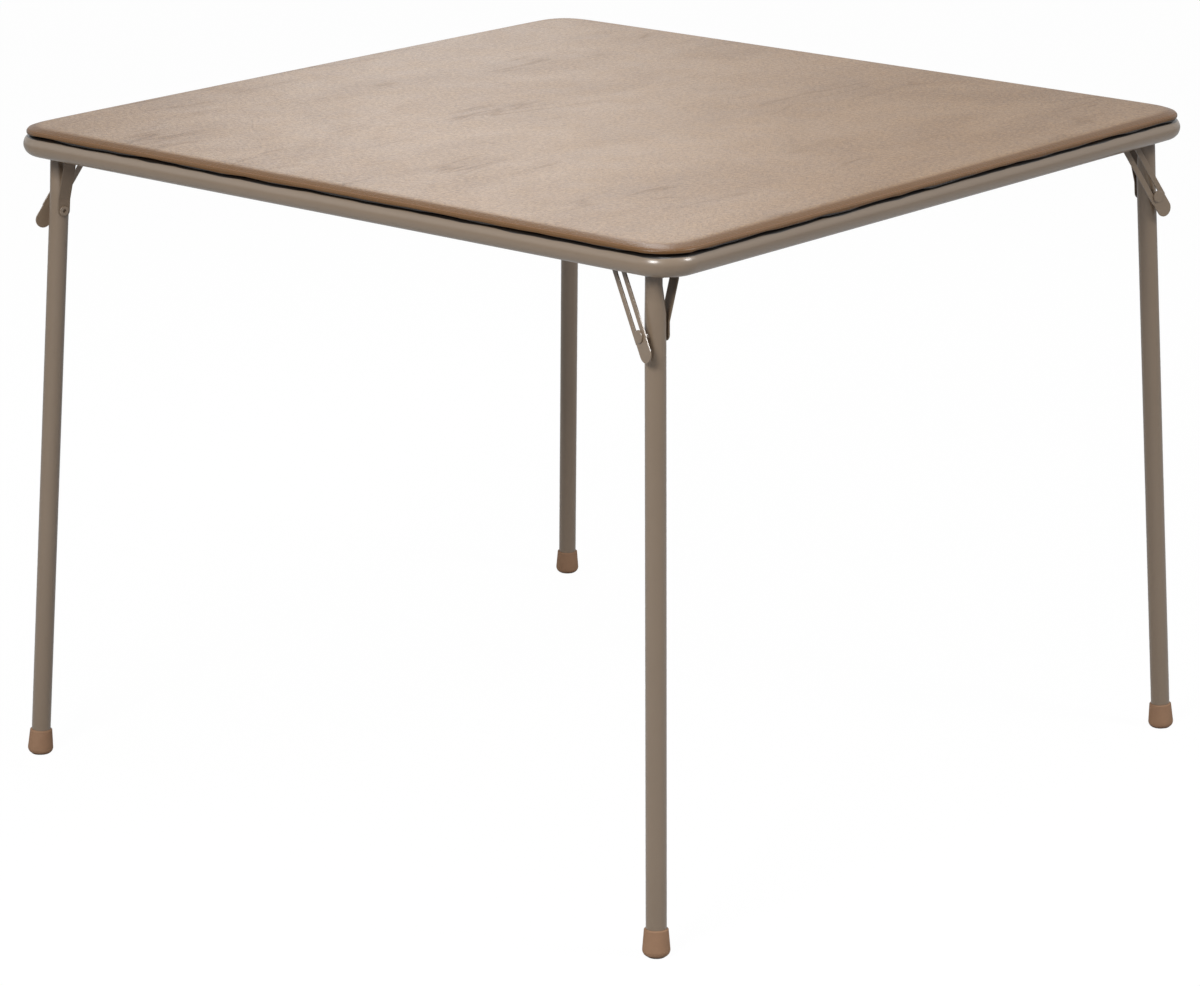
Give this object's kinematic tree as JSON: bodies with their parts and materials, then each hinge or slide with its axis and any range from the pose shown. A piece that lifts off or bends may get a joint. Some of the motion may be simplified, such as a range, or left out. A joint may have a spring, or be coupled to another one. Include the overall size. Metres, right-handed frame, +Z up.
{
  "type": "folding card table",
  "caption": "Square card table with a thin padded vinyl top on a tubular steel ring, splayed tube legs that fold flat under it, slotted lock braces and rubber foot tips.",
  "frame": {"origin": "on the floor, under the middle of the top", "axes": "+Z up; X and Y along the sides of the top; the corner nearest the camera in the picture is at +X, -Y"},
  "size_m": [0.989, 0.989, 0.7558],
  "materials": {
    "frame_paint": "semi-gloss taupe powder coat",
    "vinyl": "taupe leather-grain vinyl, low sheen",
    "foam": "open-cell foam sheet",
    "hardboard": "pressed fibre board, smooth face down",
    "zinc": "bright zinc plate",
    "rubber_tip": "tan moulded rubber, matt"
  },
  "bodies": {
    "table_top": {"frame_sides": "frame_paint", "frame_bends": "frame_paint", "top_board": "hardboard", "foam_pad": "foam", "vinyl_cover": "vinyl", "cover_staples": "zinc", "frame_screws": "zinc", "bracket_screws": "zinc", "bracket_near": "frame_paint", "pivot_bolt_near": "zinc", "pivot_nut_near": "zinc", "pivot_sleeve_near": "zinc", "brace_rivet_near": "frame_paint", "brace_spacer_near": "zinc", "bracket_right": "frame_paint", "pivot_bolt_right": "zinc", "pivot_nut_right": "zinc", "pivot_sleeve_right": "zinc", "brace_rivet_right": "frame_paint", "brace_spacer_right": "zinc", "bracket_far": "frame_paint", "pivot_bolt_far": "zinc", "pivot_nut_far": "zinc", "pivot_sleeve_far": "zinc", "brace_rivet_far": "frame_paint", "brace_spacer_far": "zinc", "bracket_left": "frame_paint", "pivot_bolt_left": "zinc", "pivot_nut_left": "zinc", "pivot_sleeve_left": "zinc", "brace_rivet_left": "frame_paint", "brace_spacer_left": "zinc"},
    "leg_near": {"leg_tube_near": "frame_paint", "leg_strap_near": "frame_paint", "brace_post_near": "frame_paint", "foot_tip_near": "rubber_tip"},
    "brace_near": {"lock_brace_near": "frame_paint"},
    "stud_near": {"lock_stud_near": "frame_paint"},
    "leg_right": {"leg_tube_right": "frame_paint", "leg_strap_right": "frame_paint", "brace_post_right": "frame_paint", "foot_tip_right": "rubber_tip"},
    "brace_right": {"lock_brace_right": "frame_paint"},
    "stud_right": {"lock_stud_right": "frame_paint"},
    "leg_far": {"leg_tube_far": "frame_paint", "leg_strap_far": "frame_paint", "brace_post_far": "frame_paint", "foot_tip_far": "rubber_tip"},
    "brace_far": {"lock_brace_far": "frame_paint"},
    "stud_far": {"lock_stud_far": "frame_paint"},
    "leg_left": {"leg_tube_left": "frame_paint", "leg_strap_left": "frame_paint", "brace_post_left": "frame_paint", "foot_tip_left": "rubber_tip"},
    "brace_left": {"lock_brace_left": "frame_paint"},
    "stud_left": {"lock_stud_left": "frame_paint"}
  },
  "joints": [
    {"name": "leg_fold_near", "type": "hinge", "parent": "table_top", "child": "leg_near", "pos_m": [0.43462, -0.4466, 0.72113], "axis": [0.2839, 0.9584, -0.0309], "range_deg": [0, 93.37]},
    {"name": "brace_swing_near", "type": "hinge", "parent": "table_top", "child": "brace_near", "pos_m": [0.38881, -0.45171, 0.72448], "axis": [0.2839, 0.9584, -0.0309], "range_deg": [0, 117.3]},
    {"name": "stud_slide_near", "type": "slide", "parent": "brace_near", "child": "stud_near", "axis": [-0.534, 0.1847, 0.825], "range_m": [0, 0.05931]},
    {"name": "leg_fold_right", "type": "hinge", "parent": "table_top", "child": "leg_right", "pos_m": [0.4466, 0.43462, 0.72113], "axis": [-0.9584, 0.2839, -0.0309], "range_deg": [0, 93.37]},
    {"name": "brace_swing_right", "type": "hinge", "parent": "table_top", "child": "brace_right", "pos_m": [0.45171, 0.38881, 0.72448], "axis": [-0.9584, 0.2839, -0.0309], "range_deg": [0, 117.3]},
    {"name": "stud_slide_right", "type": "slide", "parent": "brace_right", "child": "stud_right", "axis": [-0.1847, -0.534, 0.825], "range_m": [0, 0.05931]},
    {"name": "leg_fold_far", "type": "hinge", "parent": "table_top", "child": "leg_far", "pos_m": [-0.43462, 0.4466, 0.72113], "axis": [-0.2839, -0.9584, -0.0309], "range_deg": [0, 93.37]},
    {"name": "brace_swing_far", "type": "hinge", "parent": "table_top", "child": "brace_far", "pos_m": [-0.38881, 0.45171, 0.72448], "axis": [-0.2839, -0.9584, -0.0309], "range_deg": [0, 117.3]},
    {"name": "stud_slide_far", "type": "slide", "parent": "brace_far", "child": "stud_far", "axis": [0.534, -0.1847, 0.825], "range_m": [0, 0.05931]},
    {"name": "leg_fold_left", "type": "hinge", "parent": "table_top", "child": "leg_left", "pos_m": [-0.4466, -0.43462, 0.72113], "axis": [0.9584, -0.2839, -0.0309], "range_deg": [0, 93.37]},
    {"name": "brace_swing_left", "type": "hinge", "parent": "table_top", "child": "brace_left", "pos_m": [-0.45171, -0.38881, 0.72448], "axis": [0.9584, -0.2839, -0.0309], "range_deg": [0, 117.3]},
    {"name": "stud_slide_left", "type": "slide", "parent": "brace_left", "child": "stud_left", "axis": [0.1847, 0.534, 0.825], "range_m": [0, 0.05931]}
  ],
  "couplings": [
    {"joint": "brace_swing_near", "follows": "leg_fold_near", "ratio": 1.2562},
    {"joint": "stud_slide_near", "follows": "leg_fold_near", "m_per_rad": 0.036389},
    {"joint": "brace_swing_right", "follows": "leg_fold_right", "ratio": 1.2562},
    {"joint": "stud_slide_right", "follows": "leg_fold_right", "m_per_rad": 0.036389},
    {"joint": "brace_swing_far", "follows": "leg_fold_far", "ratio": 1.2562},
    {"joint": "stud_slide_far", "follows": "leg_fold_far", "m_per_rad": 0.036389},
    {"joint": "brace_swing_left", "follows": "leg_fold_left", "ratio": 1.2562},
    {"joint": "stud_slide_left", "follows": "leg_fold_left", "m_per_rad": 0.036389}
  ]
}
